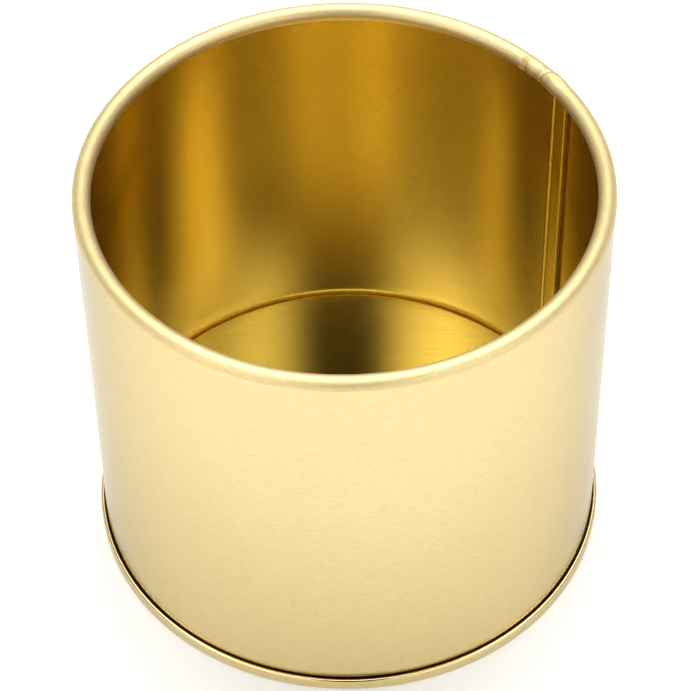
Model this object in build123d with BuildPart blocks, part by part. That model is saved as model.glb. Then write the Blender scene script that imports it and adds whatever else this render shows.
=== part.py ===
from build123d import *
import os
from math import acos, degrees

# Cookie tin: an open, round tinplate body with an inward-rolled rim, a grooved side
# seam and a double-seamed bottom end. Millimetres, +Z up, origin at the centre of the
# base, z = 0 where the tin stands. +X is to the right of the tin's front, -Y.

# Driving dimensions
SHEET = 0.25            # tinplate thickness
BODY_RADIUS = 45.0      # outside of the body wall
TIN_HEIGHT = 80.0       # base of the double seam to the top of the rim
CURL_RADIUS = 1.55      # outside radius of the rolled rim
CURL_TURN = 305.0       # degrees of roll, from the wall over the top to the raw edge
FLOOR_HEIGHT = 4.8      # top of the floor panel above the base
FLOOR_BEND = 0.9        # outside radius of the bend at the floor panel's edge
SEAM_HEIGHT = 2.3       # double seam, base to top
SEAM_GAP = 0.045        # room between the layers of the double seam
FOOT_BEND = 0.45        # outside radius of the bends at the foot of the double seam
COMPOUND_ROOM = 0.2     # room between the foot and the body hook's turn
COMPOUND_SKIN = 0.02    # room between the compound and the metal around it
HOOK_OVERLAP = 0.85     # height over which the two hooks of the double seam overlap
LOCK_ANGLE = 31.6       # middle of the side seam, degrees from +X towards +Y
LOCK_WIDTH = 3.0        # side seam, fold to fold
LOCK_GAP = 0.04         # room between the four layers of the side seam
LOCK_SHOULDER = 0.6     # outside radius of the bend where the sheet steps into the seam
LOCK_END_ROOM = 0.4     # side seam's ends, clear of the floor and of the rim

# Double seam, layer by layer from the inside out
layer = SHEET + SEAM_GAP
chuck_inside = BODY_RADIUS - layer - SHEET
cover_hook_inside = BODY_RADIUS + SEAM_GAP
body_hook_inside = cover_hook_inside + layer
seam_outside = body_hook_inside + layer + SHEET
body_turn = (body_hook_inside - BODY_RADIUS) / 2
cover_turn = (seam_outside - cover_hook_inside) / 2
body_turn_height = SHEET + COMPOUND_ROOM + body_turn + SHEET
cover_turn_height = SEAM_HEIGHT - cover_turn
hook_middle = (body_turn_height + cover_turn_height) / 2
foot_width = seam_outside - chuck_inside - 2 * FOOT_BEND

# Side seam, layer by layer from the outside in
lock_layer = SHEET + LOCK_GAP
fold_inside = (SHEET + 2 * LOCK_GAP) / 2
fold_outside = fold_inside + SHEET
left_fold = BODY_RADIUS - fold_outside
right_fold = left_fold - lock_layer
wrap_radius = fold_outside + LOCK_GAP
shoulder_centre = BODY_RADIUS - LOCK_SHOULDER
lock_bottom = FLOOR_HEIGHT + LOCK_END_ROOM
lock_top = TIN_HEIGHT - 2 * CURL_RADIUS - LOCK_END_ROOM

back_angle = LOCK_ANGLE + 180
fold_spread = degrees((LOCK_WIDTH - 2 * fold_outside) / BODY_RADIUS)
right_fold_angle = LOCK_ANGLE - fold_spread / 2
left_fold_angle = LOCK_ANGLE + fold_spread / 2
shoulder_reach = wrap_radius + LOCK_SHOULDER
shoulder_angle = left_fold_angle + degrees(acos(
    (left_fold**2 + shoulder_centre**2 - shoulder_reach**2)
    / (2 * left_fold * shoulder_centre)
))


def at_angle(radius, angle):
    """The point on the XY plane at this radius and angle about the tin's axis."""
    return Vector(radius, 0).rotate(Axis.Z, angle)


# Body shell: the strip of tinplate that runs once round, its two ends folded and
# hooked into each other, and under and over it the turned body hook and rolled rim
with BuildPart() as body_shell:
    with BuildSketch(Plane.XY.offset(lock_bottom)):
        with BuildLine():
            left_middle = at_angle(left_fold, left_fold_angle)
            right_middle = at_angle(right_fold, right_fold_angle)
            shoulder_middle = at_angle(shoulder_centre, shoulder_angle)
            to_shoulder = (shoulder_middle - left_middle).normalized()
            CenterArc((0, 0), right_fold + fold_inside, left_fold_angle, -fold_spread)
            CenterArc(right_middle, fold_inside, right_fold_angle, -180)
            CenterArc((0, 0), right_fold - fold_inside, right_fold_angle, fold_spread)
            RadiusArc(
                at_angle(right_fold - fold_inside, left_fold_angle),
                left_middle + to_shoulder * wrap_radius,
                wrap_radius,
            )
            RadiusArc(
                left_middle + to_shoulder * wrap_radius,
                at_angle(BODY_RADIUS, shoulder_angle),
                -LOCK_SHOULDER,
            )
            CenterArc((0, 0), BODY_RADIUS, shoulder_angle, back_angle - shoulder_angle)
            offset(amount=SHEET, side=Side.RIGHT)
        make_face()
        with BuildLine():
            CenterArc(
                (0, 0), BODY_RADIUS, back_angle, 360 + left_fold_angle - back_angle
            )
            CenterArc(left_middle, fold_outside, left_fold_angle, 180)
            CenterArc((0, 0), left_fold - fold_outside, left_fold_angle, -fold_spread)
            offset(amount=SHEET, side=Side.RIGHT)
        make_face()
    extrude(amount=lock_top - lock_bottom)

    with BuildSketch(Plane.XZ):
        with BuildLine():
            Line(
                (body_hook_inside, hook_middle + HOOK_OVERLAP / 2),
                (body_hook_inside, body_turn_height),
            )
            turn = CenterArc(
                (BODY_RADIUS + body_turn, body_turn_height), body_turn, 0, -180
            )
            Line(turn @ 1, (BODY_RADIUS, lock_bottom))
            offset(amount=SHEET, side=Side.LEFT)
        make_face()
        with BuildLine():
            neck = Line((BODY_RADIUS, lock_top), (BODY_RADIUS, TIN_HEIGHT - CURL_RADIUS))
            CenterArc(neck @ 1 - (CURL_RADIUS, 0), CURL_RADIUS, 0, CURL_TURN)
            offset(amount=SHEET, side=Side.RIGHT)
        make_face()
    revolve(axis=Axis.Z)
body_shell.part.label = "body_shell"

# Bottom end: floor panel, chuck wall, foot, seaming wall and cover hook
with BuildPart() as bottom_end:
    with BuildSketch(Plane.XZ):
        with BuildLine():
            floor_under = FLOOR_HEIGHT - SHEET
            floor_bend = FLOOR_BEND - SHEET
            panel = Line((0, floor_under), (chuck_inside - floor_bend, floor_under))
            panel_bend = CenterArc(panel @ 1 - (0, floor_bend), floor_bend, 90, -90)
            chuck = Line(panel_bend @ 1, (chuck_inside, FOOT_BEND))
            inner_bend = CenterArc(chuck @ 1 + (FOOT_BEND, 0), FOOT_BEND, 180, 90)
            foot = Line(inner_bend @ 1, (seam_outside - FOOT_BEND, 0))
            outer_bend = CenterArc(foot @ 1 + (0, FOOT_BEND), FOOT_BEND, 270, 90)
            seaming_wall = Line(outer_bend @ 1, (seam_outside, cover_turn_height))
            cover_bend = CenterArc(seaming_wall @ 1 - (cover_turn, 0), cover_turn, 0, 180)
            Line(
                cover_bend @ 1, (cover_hook_inside, hook_middle - HOOK_OVERLAP / 2)
            )
            offset(amount=SHEET, side=Side.LEFT)
        make_face()
    revolve(axis=Axis.Z)
bottom_end.part.label = "bottom_end"

# Sealing compound: the flat soft ring between the foot and the body hook's turn
with BuildPart() as sealing_compound:
    with BuildSketch(Plane.XZ):
        with Locations((BODY_RADIUS + body_turn, SHEET + COMPOUND_ROOM / 2)):
            Rectangle(foot_width, COMPOUND_ROOM - 2 * COMPOUND_SKIN)
    revolve(axis=Axis.Z)
sealing_compound.part.label = "sealing_compound"

os.makedirs("parts", exist_ok=True)
export_step(body_shell.part, "parts/body_shell.step")
export_step(bottom_end.part, "parts/bottom_end.step")
export_step(sealing_compound.part, "parts/sealing_compound.step")
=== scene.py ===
import math

import bmesh
import bpy
from mathutils import Matrix, Vector


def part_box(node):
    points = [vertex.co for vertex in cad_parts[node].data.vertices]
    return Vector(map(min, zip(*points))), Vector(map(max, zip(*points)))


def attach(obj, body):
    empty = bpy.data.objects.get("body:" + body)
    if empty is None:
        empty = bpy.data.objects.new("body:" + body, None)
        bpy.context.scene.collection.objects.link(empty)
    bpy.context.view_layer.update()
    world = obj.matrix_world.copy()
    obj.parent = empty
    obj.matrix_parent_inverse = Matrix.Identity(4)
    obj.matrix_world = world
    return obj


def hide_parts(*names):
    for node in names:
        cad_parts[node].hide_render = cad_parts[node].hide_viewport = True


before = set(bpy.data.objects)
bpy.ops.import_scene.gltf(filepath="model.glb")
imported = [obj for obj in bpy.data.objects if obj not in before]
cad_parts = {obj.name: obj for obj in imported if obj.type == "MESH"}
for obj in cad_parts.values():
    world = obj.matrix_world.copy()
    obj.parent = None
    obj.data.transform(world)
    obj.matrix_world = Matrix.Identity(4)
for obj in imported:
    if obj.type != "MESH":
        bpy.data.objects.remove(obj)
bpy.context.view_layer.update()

# A gold-lacquered cookie tin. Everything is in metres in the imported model's frame.
MM = 0.001
shell_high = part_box("body_shell")[1]
end_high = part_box("bottom_end")[1]

# Sizes read from the frame
RIM_TOP = shell_high.z
FLOOR_TOP = end_high.z
SEAM_RADIUS = end_high.x

# Sizes of the sheet and its folds, as the part's source has them
SHEET = 0.25 * MM
CURL_RADIUS = 1.55 * MM
CURL_TURN = math.radians(305)
FLOOR_BEND = 0.9 * MM
FOOT_BEND = 0.45 * MM
SEAM_HEIGHT = 2.3 * MM
SEAM_GAP = 0.045 * MM
WALL_RADIUS = SEAM_RADIUS - 3 * (SHEET + SEAM_GAP)
HOOK_OVERLAP = 0.85 * MM
COMPOUND_ROOM = 0.2 * MM
LOCK_ANGLE = math.radians(31.6)
LOCK_WIDTH = 3.0 * MM
LOCK_GAP = 0.04 * MM
LOCK_SHOULDER = 0.6 * MM
LOCK_END_ROOM = 0.4 * MM
LOCK_MARGIN = math.radians(1.0)

# Where a face counts as the wall's, and how far up it has to look to be the floor's
WALL_MARGIN = 1.2 * SHEET
FACING_UP = 0.05

# Small unevenness of the wall: each wave's share of the depth, its count round the tin, its
# phase and how far it shifts with height
WAVE_DEPTH = 0.03 * MM
WAVE_FADE = 8 * MM
WAVES = ((0.5, 5, 0.7, 18), (0.3, 11, -1.1, -40), (0.2, 17, 2.3, 65))

# The lap where the rim's two ends meet: depths are shares of the rim's own radius
LAP_CREASE = math.radians(35.9)
LAP_PINCH = math.radians(42.7)
CREASE_SLANT = math.radians(0.8)
CREASE_WIDTH = math.radians(0.7)
CREASE_DEPTH = 0.10
PINCH_WIDTH = math.radians(0.9)
PINCH_DEPTH = 0.07
STEP_WIDTH = math.radians(2.2)
STEP_DEPTH = 0.07
PINCH_OUTSIDE = 0.4
BURR_SPREAD = math.radians(1.1)
BURR_HEIGHT = 0.05
BURR_RIPPLE = 1100
BURR_TWIST = 3
SWELL_REACH = math.radians(3.0)
SWELL = 0.08

# Mesh fineness
COLUMNS = 720
WALL_ROWS = 36
FLOOR_ROWS = 24
FINE_STEP = math.radians(0.125)
FINE_START = math.radians(26)
FINE_END = math.radians(50)
ARC_STEP = math.radians(7.5)
SHARP_ANGLE = math.radians(35)
WELD_DISTANCE = MM / 1000

# Finish: the lacquer outside is pale, the one inside deeper and with less gloss coat, and
# the rim's is the dullest
OUTSIDE_DEEP = (0.70, 0.56, 0.27)
OUTSIDE_PALE = (0.80, 0.65, 0.325)
OUTSIDE_COAT = 0.22
EDGE_TINT = (0.64, 0.64, 0.63)
INSIDE_DEEP = (0.75, 0.60, 0.195)
INSIDE_PALE = (0.85, 0.69, 0.265)
INSIDE_COAT = 0.04
WALL_ROUGHNESS = 0.19
RIM_ROUGHNESS = 0.5
GRAIN_STRETCH = 0.45
LACQUER_IOR = 1.5
COAT_ROUGHNESS = 0.16
SATIN_GRAIN = 0.06
SATIN_SPECKLE = 0.05
ROUND_THE_AXIS = 0.25
UPRIGHT_GRAIN = (550, 550, 5500)
FLAT_GRAIN = (150, 5000, 150)
SCRATCH_SCALE = (1900, 1900, 22)
INSIDE_SCRATCHES = 0.8
OUTSIDE_SCRATCHES = 0.0
SPECKLE_SCALE = (4200, 4200, 4200)
TONE_LOW, TONE_HIGH = 0.38, 0.62
SCRATCH_LOW, SCRATCH_HIGH = 0.70, 0.76
RELIEF = 0.0018 * MM
RELIEF_STRENGTH = 0.5
RELIEF_SPECKLE = 0.4

# Painted shade in the crevice over the double seam: the wall's colour is darkened where it stands
# in the seam
CREVICE_SHADE_COLOUR = (0.24, 0.15, 0.045)
CREVICE_SHADE_REACH = 0.36 * MM
CREVICE_SHADE_CLIMB = 0.25
CREVICE_SHADE_CORE = 0.15

# The sealing compound and the studio floor
COMPOUND_DARK = (0.24, 0.23, 0.21)
COMPOUND_PALE = (0.36, 0.35, 0.32)
COMPOUND_MOTTLE = (900, 900, 900)
STUDIO_SIZE = 1.5
STUDIO_TONES = (0.89, 0.91)
STUDIO_MOTTLE = (8, 8, 8)

# Light: how bright each box is, and the level between them
GLOSSY_BOUNCES = 10
LIGHT = 1.0
ZENITH = 2.7
REAR_OVERHEAD = 7.4
REAR_HIGH = 2.6
REAR_LOW = 1.2
LEFT_HIGH = 2.4
LEFT_LOW = 1.95
RIGHT_HIGH = 3.1
RIGHT_LOW = 2.7
FRONT_BOXES = 1.8
SIDES = 0.8
HORIZON = 0.4
GAPS = 0.02
BOX_EDGE = 1.5

# Angles past any that occur, which leave a box open on that side
PAST_ZENITH = 200
PAST_BACK = 400

# Camera, with lengths in wall radii where they scale with the tin
SENSOR_WIDTH = 36.0
NEAR_CLIP = 0.01
CAMERA_LENS = 145.126
CAMERA_PIVOT = 0.85
CAMERA_DISTANCE = 10.8913
CAMERA_ELEVATION = math.radians(48.172)
CAMERA_AIM = (-0.00020, 0.0, 0.03904)
CAMERA_ROLL = math.radians(-0.897)


def arc(centre, radius, start, sweep):
    """Points along an arc about centre, both ends included."""
    count = max(4, math.ceil(abs(sweep) / ARC_STEP))
    angles = [start + sweep * i / count for i in range(count + 1)]
    return [(centre[0] + radius * math.cos(a), centre[1] + radius * math.sin(a)) for a in angles]


def line(start, end, count):
    """Evenly spaced points from start to end, both ends included."""
    shares = [i / count for i in range(count + 1)]
    return [
        (start[0] + (end[0] - start[0]) * s, start[1] + (end[1] - start[1]) * s) for s in shares
    ]


def joined(*runs):
    """One path from several runs, without the doubled points where they meet."""
    path = list(runs[0])
    for run in runs[1:]:
        path.extend(run[1:])
    return path


def thickened(path, thickness):
    """Both faces of a sheet whose middle follows the path, as two lists of points."""
    left, right = [], []
    for i, (x, y) in enumerate(path):
        before = path[max(i - 1, 0)]
        after = path[min(i + 1, len(path) - 1)]
        along = Vector((after[0] - before[0], after[1] - before[1])).normalized()
        reach = thickness / 2
        left.append((x - along.y * reach, y + along.x * reach))
        right.append((x + along.y * reach, y - along.x * reach))
    return left, right


def polar(radius, angle):
    return (radius * math.cos(angle), radius * math.sin(angle))


def mesh_object(name, vertices, faces):
    """A mesh piece with smooth faces and sharp edges where the surface turns hard."""
    mesh = bpy.data.meshes.new(name)
    mesh.from_pydata(vertices, [], faces)
    mesh.validate()
    for polygon in mesh.polygons:
        polygon.use_smooth = True
    mesh.set_sharp_from_angle(angle=SHARP_ANGLE)
    piece = bpy.data.objects.new(name, mesh)
    bpy.context.scene.collection.objects.link(piece)
    return piece


# The double seam's layers, from the inside out, at the middle of each sheet
half = SHEET / 2
layer = SHEET + SEAM_GAP
wall_middle = WALL_RADIUS - half
chuck_middle = wall_middle - layer
cover_hook_middle = wall_middle + layer
body_hook_middle = cover_hook_middle + layer
seaming_wall_middle = SEAM_RADIUS - half
body_turn = (body_hook_middle - wall_middle) / 2
cover_turn = (seaming_wall_middle - cover_hook_middle) / 2
body_turn_height = SHEET + COMPOUND_ROOM + half + body_turn
cover_turn_height = SEAM_HEIGHT - half - cover_turn
hook_middle = (body_turn_height + cover_turn_height) / 2

# The side seam's folds, at the middle of each sheet
fold = SHEET + LOCK_GAP
left_fold = wall_middle - fold
right_fold = left_fold - fold
wrap = 2 * fold
shoulder = LOCK_SHOULDER - half
shoulder_centre = wall_middle - shoulder
lock_bottom = FLOOR_TOP + LOCK_END_ROOM
lock_top = RIM_TOP - 2 * CURL_RADIUS - LOCK_END_ROOM
fold_spread = (LOCK_WIDTH - 2 * (fold + half)) / WALL_RADIUS
right_fold_angle = LOCK_ANGLE - fold_spread / 2
left_fold_angle = LOCK_ANGLE + fold_spread / 2
shoulder_angle = left_fold_angle + math.acos(
    (left_fold**2 + shoulder_centre**2 - (wrap + shoulder) ** 2)
    / (2 * left_fold * shoulder_centre)
)
lock_start = right_fold_angle - LOCK_MARGIN
lock_end = shoulder_angle + LOCK_MARGIN


def shell_profile():
    """Body hook, wall and rolled rim as (radius, height), and the rows of the side seam."""
    neck = RIM_TOP - CURL_RADIUS
    hook_top = hook_middle + HOOK_OVERLAP / 2
    foot = joined(
        line((body_hook_middle, hook_top), (body_hook_middle, body_turn_height), 3),
        arc((wall_middle + body_turn, body_turn_height), body_turn, 0, -math.pi),
        line((wall_middle, body_turn_height), (wall_middle, lock_bottom), 6),
    )
    path = joined(
        foot,
        line((wall_middle, lock_bottom), (wall_middle, lock_top), WALL_ROWS),
        line((wall_middle, lock_top), (wall_middle, neck), 2),
        arc((WALL_RADIUS - CURL_RADIUS, neck), CURL_RADIUS - half, 0, CURL_TURN),
    )
    return path, len(foot) - 1


def end_profile():
    """Floor panel, chuck wall, foot, seaming wall and cover hook as (radius, height)."""
    floor = FLOOR_TOP - half
    bend = FLOOR_BEND - half
    foot = FOOT_BEND - half
    edge = chuck_middle - bend
    hook_end = hook_middle - HOOK_OVERLAP / 2
    return joined(
        line((0, floor), (edge, floor), FLOOR_ROWS),
        arc((edge, floor - bend), bend, math.pi / 2, -math.pi / 2),
        line((chuck_middle, floor - bend), (chuck_middle, half + foot), 4),
        arc((chuck_middle + foot, half + foot), foot, math.pi, math.pi / 2),
        line((chuck_middle + foot, half), (seaming_wall_middle - foot, half), 2),
        arc((seaming_wall_middle - foot, half + foot), foot, -math.pi / 2, math.pi / 2),
        line((seaming_wall_middle, half + foot), (seaming_wall_middle, cover_turn_height), 4),
        arc((seaming_wall_middle - cover_turn, cover_turn_height), cover_turn, 0, math.pi),
        line((cover_hook_middle, cover_turn_height), (cover_hook_middle, hook_end), 3),
    )


def wall_arc(radius, start, sweep):
    """Points along a circle round the tin's axis."""
    count = max(2, math.ceil(abs(sweep) / FINE_STEP))
    return [polar(radius, start + sweep * i / count) for i in range(count + 1)]


def left_strip():
    """The end of the sheet that comes from the seam's right: outer layer, fold, third layer."""
    return joined(
        wall_arc(wall_middle, lock_start, left_fold_angle - lock_start),
        arc(polar(left_fold, left_fold_angle), fold, left_fold_angle, math.pi),
        wall_arc(left_fold - fold, left_fold_angle, -fold_spread),
    )


def right_strip():
    """The end that steps in round the other's fold: inner layer, fold, second layer."""
    left_middle = Vector(polar(left_fold, left_fold_angle))
    shoulder_middle = Vector(polar(shoulder_centre, shoulder_angle))
    reach = shoulder_middle - left_middle
    heading = math.atan2(reach.y, reach.x)
    inward = left_fold_angle + math.pi
    return joined(
        wall_arc(wall_middle, lock_end, shoulder_angle - lock_end),
        arc(shoulder_middle, shoulder, shoulder_angle, heading + math.pi - shoulder_angle),
        arc(left_middle, wrap, heading, inward - heading),
        wall_arc(right_fold - fold, left_fold_angle, -fold_spread),
        arc(polar(right_fold, right_fold_angle), fold, right_fold_angle + math.pi, math.pi),
        wall_arc(right_fold + fold, right_fold_angle, fold_spread),
    )


def column_angles():
    """Angles round the tin: even, and finer round the side seam and the rim's lap."""
    angles = [2 * math.pi * i / COLUMNS for i in range(COLUMNS)]
    fine_count = round((FINE_END - FINE_START) / FINE_STEP)
    fine = [FINE_START + FINE_STEP * i for i in range(fine_count + 1)]
    kept = [a for a in angles if a < FINE_START - FINE_STEP or a > FINE_END + FINE_STEP]
    near = [a for a in fine if min(abs(a - lock_start), abs(a - lock_end)) > FINE_STEP / 3]
    return sorted(kept + near + [lock_start, lock_end])


def bump(value, middle, width):
    """1 at middle, falling smoothly to 0 at a distance of width."""
    share = min(abs(value - middle) / width, 1)
    return (1 - share * share) ** 2


def wall_wave(angle, height):
    """How far the wall stands out of its true cylinder: nothing at its top and bottom."""
    neck = RIM_TOP - CURL_RADIUS
    fade = min((height - lock_bottom) / WAVE_FADE, (neck - height) / WAVE_FADE, 1)
    wave = sum(
        share * math.sin(count * angle + phase + shift * height)
        for share, count, phase, shift in WAVES
    )
    return WAVE_DEPTH * wave * max(fade, 0)


def shaped(angle, radius, height):
    """A point of the shell with the wall's unevenness and the rim's lap, as a vertex."""
    neck = RIM_TOP - CURL_RADIUS
    if height < neck and abs(radius - wall_middle) < SHEET:
        radius += wall_wave(angle, height)
    if height > neck - 2 * CURL_RADIUS and radius > WALL_RADIUS - 3 * CURL_RADIUS:
        centre = WALL_RADIUS - CURL_RADIUS
        out, up = radius - centre, height - neck
        turn = math.atan2(up, out)
        crease = bump(angle, LAP_CREASE - CREASE_SLANT * math.cos(turn), CREASE_WIDTH)
        pinch = bump(angle, LAP_PINCH + CREASE_SLANT * math.cos(turn), PINCH_WIDTH)
        swell = bump(angle, LAP_CREASE - SWELL_REACH, SWELL_REACH)
        inner = (1 - math.cos(turn)) / 2
        step = bump(angle, LAP_CREASE + STEP_WIDTH, STEP_WIDTH)
        ripple = math.sin(BURR_RIPPLE * angle + BURR_TWIST * turn)
        burrs = bump(angle, LAP_PINCH, BURR_SPREAD) * ripple
        size = 1 + SWELL * swell - CREASE_DEPTH * crease * inner
        size += (BURR_HEIGHT * burrs - STEP_DEPTH * step) * inner
        size -= PINCH_DEPTH * pinch * (PINCH_OUTSIDE + (1 - PINCH_OUTSIDE) * inner)
        if up > -CURL_RADIUS / 2 or out < 0:
            radius = centre + out * size
            height = min(neck + up * size, RIM_TOP)
    x, y = polar(radius, angle)
    return (x, y, height)


def turned(path, angles, rows_open):
    """Vertices and faces of a sheet turned round the axis, with a window for the seam."""
    left, right = thickened(path, SHEET)
    count = len(path)
    ring = right + left[::-1]
    vertices = [shaped(a, r, z) for a in angles for r, z in ring]
    size = len(ring)
    faces = []

    def corner(column, index):
        return (column % len(angles)) * size + index % size

    for column in range(len(angles)):
        after = column + 1
        in_window = lock_start <= angles[column] < lock_end
        for index in range(size):
            row = index if index < count else size - 2 - index
            open_row = in_window and rows_open[0] <= row < rows_open[1]
            if open_row and index not in (count - 1, size - 1):
                continue
            faces.append((
                corner(column, index),
                corner(after, index),
                corner(after, index + 1),
                corner(column, index + 1),
            ))
        if in_window:
            low, high = rows_open
            for row in (low, high):
                near, far = corner(column, row), corner(after, row)
                near_in, far_in = corner(column, size - 1 - row), corner(after, size - 1 - row)
                rim = (near, far, far_in, near_in)
                faces.append(rim if row == high else rim[::-1])
    for angle, turn in ((lock_start, 1), (lock_end, -1)):
        column = angles.index(angle)
        for row in range(*rows_open):
            side = (
                corner(column, row),
                corner(column, row + 1),
                corner(column, size - 2 - row),
                corner(column, size - 1 - row),
            )
            faces.append(side[::turn])
    return vertices, faces


def folded(path):
    """Vertices and faces of one folded end of the sheet, standing up the wall."""
    left, right = thickened(path, SHEET)
    count = len(path)
    ring = right + left[::-1]
    size = len(ring)
    heights = [lock_bottom + (lock_top - lock_bottom) * i / WALL_ROWS for i in range(WALL_ROWS + 1)]
    vertices = []
    for z in heights:
        for x, y in ring:
            angle, radius = math.atan2(y, x), math.hypot(x, y)
            vertices.append((*polar(radius + wall_wave(angle, z), angle), z))
    faces = []
    for level in range(WALL_ROWS):
        base = level * size
        for i in range(size):
            j = (i + 1) % size
            faces.append((base + i, base + j, base + size + j, base + size + i))
    top = WALL_ROWS * size
    for i in range(count - 1):
        cap = (i, i + 1, size - 2 - i, size - 1 - i)
        faces.append(cap[::-1])
        faces.append(tuple(top + k for k in cap))
    return vertices, faces


def body_piece():
    """The body sheet: turned shell with the seam's window, and its two folded ends."""
    path, first_row = shell_profile()
    angles = column_angles()
    vertices, faces = turned(path, angles, (first_row, first_row + WALL_ROWS))
    for strip in (left_strip(), right_strip()):
        more_vertices, more_faces = folded(strip)
        start = len(vertices)
        vertices += more_vertices
        faces += [tuple(start + index for index in face) for face in more_faces]
    return mesh_object("tin_body", vertices, faces)


def end_piece():
    """The pressed bottom end with its floor panel and the outer part of the double seam."""
    left, right = thickened(end_profile(), SHEET)
    ring = right + left[::-1]
    size = len(ring)
    vertices = [(*polar(r, 2 * math.pi * i / COLUMNS), z) for i in range(COLUMNS) for r, z in ring]
    faces = []
    for i in range(COLUMNS):
        after = (i + 1) % COLUMNS
        for k in range(size - 1):
            faces.append((i * size + k, after * size + k, after * size + k + 1, i * size + k + 1))
    piece = mesh_object("tin_end", vertices, faces)
    shape = bmesh.new()
    shape.from_mesh(piece.data)
    bmesh.ops.remove_doubles(shape, verts=shape.verts, dist=WELD_DISTANCE)
    shape.to_mesh(piece.data)
    shape.free()
    return piece


def body_side(polygon):
    """Which finish a face of the body has: 0 outside, 1 inside, 2 on the rolled rim."""
    centre, normal = polygon.center, polygon.normal
    inward = centre.x * normal.x + centre.y * normal.y < 0
    radius = math.hypot(centre.x, centre.y)
    below_rim = centre.z < RIM_TOP - 2 * CURL_RADIUS
    if below_rim:
        return 1 if inward and centre.z > FLOOR_TOP else 0
    on_wall = radius > WALL_RADIUS - WALL_MARGIN and centre.z < RIM_TOP - CURL_RADIUS
    return 0 if on_wall else 2


def end_side(polygon):
    """Which finish a face of the bottom end has: 1 on top of the floor panel, 0 elsewhere."""
    inside = math.hypot(polygon.center.x, polygon.center.y) < chuck_middle + half
    upper = polygon.normal.z > FACING_UP and polygon.center.z > FLOOR_TOP - FLOOR_BEND
    return 1 if inside and upper else 0


def lacquer(piece, finishes, side):
    """Several finishes on one sheet, by where each face is and the way that it looks."""
    for finish in finishes:
        piece.data.materials.append(finish)
    for polygon in piece.data.polygons:
        polygon.material_index = side(polygon)


# Materials
class Nodes:
    """A short way to write a node tree."""

    def __init__(self, tree):
        self.tree = tree
        tree.nodes.clear()

    def add(self, kind, **settings):
        node = self.tree.nodes.new(kind)
        for key, value in settings.items():
            setattr(node, key, value)
        return node

    def link(self, source, target):
        self.tree.links.new(source, target)

    def math(self, operation, first, second=0.0, third=0.0):
        node = self.add("ShaderNodeMath", operation=operation)
        for socket, value in zip(node.inputs, (first, second, third)):
            if isinstance(value, bpy.types.NodeSocket):
                self.link(value, socket)
            else:
                socket.default_value = value
        return node.outputs[0]

    def ramp(self, value, low, high, bottom=0.0, top=1.0):
        node = self.add("ShaderNodeMapRange", interpolation_type="SMOOTHSTEP")
        self.link(value, node.inputs["Value"])
        node.inputs["From Min"].default_value = low
        node.inputs["From Max"].default_value = high
        node.inputs["To Min"].default_value = bottom
        node.inputs["To Max"].default_value = top
        return node.outputs["Result"]

    def noise(self, vector, scale, detail=2.0, roughness=0.5):
        mapping = self.add("ShaderNodeMapping")
        mapping.inputs["Scale"].default_value = scale
        self.link(vector, mapping.inputs["Vector"])
        node = self.add("ShaderNodeTexNoise")
        node.inputs["Scale"].default_value = 1.0
        node.inputs["Detail"].default_value = detail
        node.inputs["Roughness"].default_value = roughness
        self.link(mapping.outputs["Vector"], node.inputs["Vector"])
        return node.outputs["Fac"]


def lacquer_colour(nodes, place, tone, deep, pale, scratches):
    """Deep to pale by tone, with scratches down to deep, and painted shade in the crevice."""
    noise = nodes.noise(place, SCRATCH_SCALE, detail=1.0)
    scores = nodes.ramp(noise, SCRATCH_LOW, SCRATCH_HIGH, 0.0, scratches)
    colour = nodes.add("ShaderNodeMix", data_type="RGBA")
    colour.inputs["A"].default_value = (*deep, 1)
    colour.inputs["B"].default_value = (*pale, 1)
    share = nodes.math("SUBTRACT", nodes.ramp(tone, TONE_LOW, TONE_HIGH), scores)
    nodes.link(share, colour.inputs["Factor"])
    # painted shade: the colour is darkened in the crevice over the double seam
    return painted_crevice_shade(nodes, place, colour.outputs["Result"])


def satin_roughness(nodes, grain, speckle, roughness):
    """The roughness given, a little uneven with the grain and the speckle."""
    from_grain = nodes.math("MULTIPLY", grain, SATIN_GRAIN)
    from_speckle = nodes.math("MULTIPLY", speckle, SATIN_SPECKLE)
    satin = nodes.math("ADD", from_grain, from_speckle)
    return nodes.math("ADD", satin, roughness - (SATIN_GRAIN + SATIN_SPECKLE) / 2)


def fine_relief(nodes, grain, speckle):
    """A surface normal with the grain and the speckle as a slight relief."""
    relief = nodes.add("ShaderNodeBump")
    relief.inputs["Strength"].default_value = RELIEF_STRENGTH
    relief.inputs["Distance"].default_value = RELIEF
    height = nodes.math("ADD", grain, nodes.math("MULTIPLY", speckle, RELIEF_SPECKLE))
    nodes.link(height, relief.inputs["Height"])
    return relief.outputs["Normal"]


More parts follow.
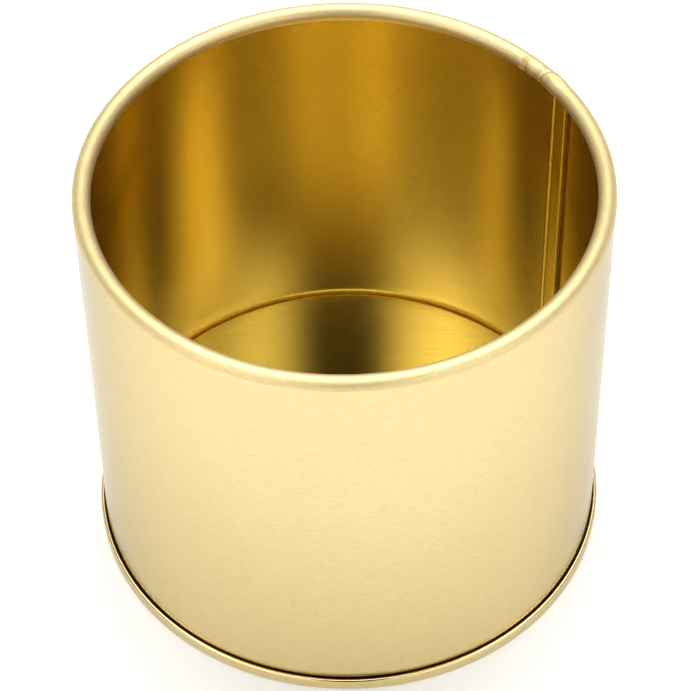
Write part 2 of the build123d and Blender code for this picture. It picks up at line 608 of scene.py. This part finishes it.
def tinplate(name, deep, pale, coat, scratches, roughness, grain_scale, round_grain):
    """Gold lacquer over rolled tinplate: satin, grained one way, finely speckled."""
    material = bpy.data.materials.new(name)
    material.use_nodes = True
    nodes = Nodes(material.node_tree)
    place = nodes.add("ShaderNodeTexCoord").outputs["Object"]
    grain = nodes.noise(place, grain_scale, detail=3.0, roughness=0.6)
    speckle = nodes.noise(place, SPECKLE_SCALE, detail=2.0, roughness=0.7)

    shader = nodes.add("ShaderNodeBsdfPrincipled")
    shader.inputs["Metallic"].default_value = 1.0
    shader.inputs["Anisotropic"].default_value = GRAIN_STRETCH
    shader.inputs["Specular Tint"].default_value = (*EDGE_TINT, 1)
    shader.inputs["Coat Weight"].default_value = coat
    shader.inputs["Coat Roughness"].default_value = COAT_ROUGHNESS
    shader.inputs["Coat IOR"].default_value = LACQUER_IOR

    tone = nodes.math("MULTIPLY_ADD", grain, 0.5, nodes.math("MULTIPLY", speckle, 0.5))
    colour = lacquer_colour(nodes, place, tone, deep, pale, scratches)
    nodes.link(colour, shader.inputs["Base Color"])
    satin = satin_roughness(nodes, grain, speckle, roughness)
    nodes.link(satin, shader.inputs["Roughness"])
    nodes.link(fine_relief(nodes, grain, speckle), shader.inputs["Normal"])

    if round_grain:
        tangent = nodes.add("ShaderNodeTangent", direction_type="RADIAL", axis="Z")
        nodes.link(tangent.outputs["Tangent"], shader.inputs["Tangent"])
        shader.inputs["Anisotropic Rotation"].default_value = ROUND_THE_AXIS
    output = nodes.add("ShaderNodeOutputMaterial")
    nodes.link(shader.outputs["BSDF"], output.inputs["Surface"])
    return material


def painted_crevice_shade(nodes, place, colour):
    """The colour given, darkened by painted shade in the crevice where the wall stands in the
    double seam.
    """
    split = nodes.add("ShaderNodeSeparateXYZ")
    nodes.link(place, split.inputs["Vector"])
    x, y, z = split.outputs
    across = nodes.math("MULTIPLY_ADD", y, y, nodes.math("MULTIPLY", x, x))
    radius = nodes.math("SQRT", across)
    out = nodes.math("SUBTRACT", radius, WALL_RADIUS + SEAM_GAP)
    climb = nodes.math("SUBTRACT", z, SEAM_HEIGHT - SHEET / 2)
    up = nodes.math("MULTIPLY", climb, CREVICE_SHADE_CLIMB)
    squares = nodes.math("MULTIPLY_ADD", up, up, nodes.math("MULTIPLY", out, out))
    distance = nodes.math("SQRT", squares)
    core = CREVICE_SHADE_CORE * CREVICE_SHADE_REACH
    # painted shade: full dark colour at the crevice's core, fading out by its reach
    share = nodes.ramp(distance, core, CREVICE_SHADE_REACH, 1.0, 0.0)
    tint = nodes.add("ShaderNodeMix", data_type="RGBA")
    nodes.link(share, tint.inputs["Factor"])
    nodes.link(colour, tint.inputs["A"])
    tint.inputs["B"].default_value = (*CREVICE_SHADE_COLOUR, 1)
    return tint.outputs["Result"]


def compound_material():
    """Matt grey sealing compound, slightly mottled."""
    material = bpy.data.materials.new("compound")
    material.use_nodes = True
    nodes = Nodes(material.node_tree)
    place = nodes.add("ShaderNodeTexCoord").outputs["Object"]
    mottle = nodes.noise(place, COMPOUND_MOTTLE, detail=3.0)
    shader = nodes.add("ShaderNodeBsdfPrincipled")
    colour = nodes.add("ShaderNodeMix", data_type="RGBA")
    colour.inputs["A"].default_value = (*COMPOUND_DARK, 1)
    colour.inputs["B"].default_value = (*COMPOUND_PALE, 1)
    nodes.link(mottle, colour.inputs["Factor"])
    nodes.link(colour.outputs["Result"], shader.inputs["Base Color"])
    nodes.link(nodes.ramp(mottle, 0.2, 0.8, 0.6, 0.8), shader.inputs["Roughness"])
    output = nodes.add("ShaderNodeOutputMaterial")
    nodes.link(shader.outputs["BSDF"], output.inputs["Surface"])
    return material


def floor_material():
    """Matt white studio floor with the faintest unevenness."""
    material = bpy.data.materials.new("studio_floor")
    material.use_nodes = True
    nodes = Nodes(material.node_tree)
    place = nodes.add("ShaderNodeTexCoord").outputs["Object"]
    shader = nodes.add("ShaderNodeBsdfPrincipled")
    shader.inputs["Roughness"].default_value = 0.9
    shader.inputs["Specular IOR Level"].default_value = 0.1
    tone = nodes.ramp(nodes.noise(place, STUDIO_MOTTLE), 0.2, 0.8, *STUDIO_TONES)
    colour = nodes.add("ShaderNodeCombineColor")
    for channel in ("Red", "Green", "Blue"):
        nodes.link(tone, colour.inputs[channel])
    nodes.link(colour.outputs["Color"], shader.inputs["Base Color"])
    output = nodes.add("ShaderNodeOutputMaterial")
    nodes.link(shader.outputs["BSDF"], output.inputs["Surface"])
    return material


def studio_light():
    """Soft light boxes drawn by direction.

    Each box has its brightness, the elevations that it reaches from and to, and its share
    round the tin, all in degrees. Azimuth is 0 at the front and positive to +X, and turn is
    the same without its sign.
    """
    world = bpy.data.worlds.new("studio")
    bpy.context.scene.world = world
    world.use_nodes = True
    nodes = Nodes(world.node_tree)
    direction = nodes.add("ShaderNodeTexCoord").outputs["Generated"]
    split = nodes.add("ShaderNodeSeparateXYZ")
    nodes.link(direction, split.inputs["Vector"])
    degrees = math.degrees(1)
    elevation = nodes.math("MULTIPLY", nodes.math("ARCSINE", split.outputs["Z"]), degrees)
    behind = nodes.math("MULTIPLY", split.outputs["Y"], -1.0)
    azimuth = nodes.math("MULTIPLY", nodes.math("ARCTAN2", split.outputs["X"], behind), degrees)
    turn = nodes.math("ABSOLUTE", azimuth)

    def band(value, low, high, soft):
        rise = nodes.ramp(value, low - soft, low + soft)
        fall = nodes.ramp(value, high - soft, high + soft, 1.0, 0.0)
        return nodes.math("MULTIPLY", rise, fall)

    def box(brightness, low, high, across):
        shape = nodes.math("MULTIPLY", band(elevation, low, high, BOX_EDGE), across)
        return nodes.math("MULTIPLY", shape, brightness * LIGHT)

    all_round = 1.0
    boxes = [
        box(ZENITH, 72, PAST_ZENITH, all_round),
        box(REAR_OVERHEAD, 60, 72, band(turn, 100, PAST_BACK, 12)),
        box(REAR_HIGH, 52, 60, band(turn, 137, PAST_BACK, 10)),
        box(REAR_LOW, 44, 52, band(turn, 137, PAST_BACK, 10)),
        box(LEFT_HIGH, 52, 60, band(azimuth, -145, -19, 12)),
        box(LEFT_LOW, 38, 52, band(azimuth, -68, -31, 20)),
        box(RIGHT_HIGH, 52, 60, band(azimuth, 48, 165, 12)),
        box(RIGHT_LOW, 38, 52, band(azimuth, 32, 45, 20)),
        box(FRONT_BOXES, 8, 36, band(turn, 12, 70, 4)),
        box(SIDES, 12, 34, band(turn, 70, PAST_BACK, 4)),
        box(HORIZON, -90, 8, all_round),
    ]
    light = GAPS * LIGHT
    for each in boxes:
        light = nodes.math("ADD", each, light)
    background = nodes.add("ShaderNodeBackground")
    nodes.link(light, background.inputs["Strength"])
    background.inputs["Color"].default_value = (1.0, 1.0, 1.0, 1)
    output = nodes.add("ShaderNodeOutputWorld")
    nodes.link(background.outputs["Background"], output.inputs["Surface"])


def studio_floor():
    """A wide pale floor under the tin."""
    far = STUDIO_SIZE
    corners = [(-far, -far, 0), (far, -far, 0), (far, far, 0), (-far, far, 0)]
    floor = mesh_object("studio_floor", corners, [(0, 1, 2, 3)])
    floor.data.materials.append(floor_material())


def camera():
    """The camera, above the tin's front."""
    data = bpy.data.cameras.new("camera")
    data.sensor_width = SENSOR_WIDTH
    data.lens = CAMERA_LENS
    data.clip_start = NEAR_CLIP
    item = bpy.data.objects.new("camera", data)
    bpy.context.scene.collection.objects.link(item)
    pivot = Vector((0, 0, CAMERA_PIVOT * WALL_RADIUS))
    back = Vector((0, -math.cos(CAMERA_ELEVATION), math.sin(CAMERA_ELEVATION)))
    item.location = pivot + back * CAMERA_DISTANCE * WALL_RADIUS
    aim = Vector(CAMERA_AIM)
    turn = (aim - item.location).to_track_quat("-Z", "Y")
    item.rotation_mode = "QUATERNION"
    item.rotation_quaternion = turn @ Matrix.Rotation(CAMERA_ROLL, 3, "Z").to_quaternion()
    bpy.context.scene.camera = item


camera()
studio_floor()
studio_light()

outside = (OUTSIDE_DEEP, OUTSIDE_PALE, OUTSIDE_COAT, OUTSIDE_SCRATCHES)
inside = (INSIDE_DEEP, INSIDE_PALE, INSIDE_COAT, INSIDE_SCRATCHES)
outside_wall = tinplate("outside_wall", *outside, WALL_ROUGHNESS, UPRIGHT_GRAIN, True)
rolled_rim = tinplate("rolled_rim", *outside, RIM_ROUGHNESS, UPRIGHT_GRAIN, True)
inside_wall = tinplate("inside_wall", *inside, WALL_ROUGHNESS, UPRIGHT_GRAIN, True)
inside_floor = tinplate("inside_floor", *inside, WALL_ROUGHNESS, FLAT_GRAIN, False)

tin_body = body_piece()
lacquer(tin_body, (outside_wall, inside_wall, rolled_rim), body_side)
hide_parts("body_shell")
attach(tin_body, "root")

tin_end = end_piece()
lacquer(tin_end, (outside_wall, inside_floor), end_side)
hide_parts("bottom_end")
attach(tin_end, "root")

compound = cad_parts["sealing_compound"]
compound.data.materials.clear()
compound.data.materials.append(compound_material())

bpy.context.scene.view_settings.view_transform = "Standard"
bpy.context.scene.cycles.glossy_bounces = GLOSSY_BOUNCES
bpy.context.scene.cycles.blur_glossy = 0.0
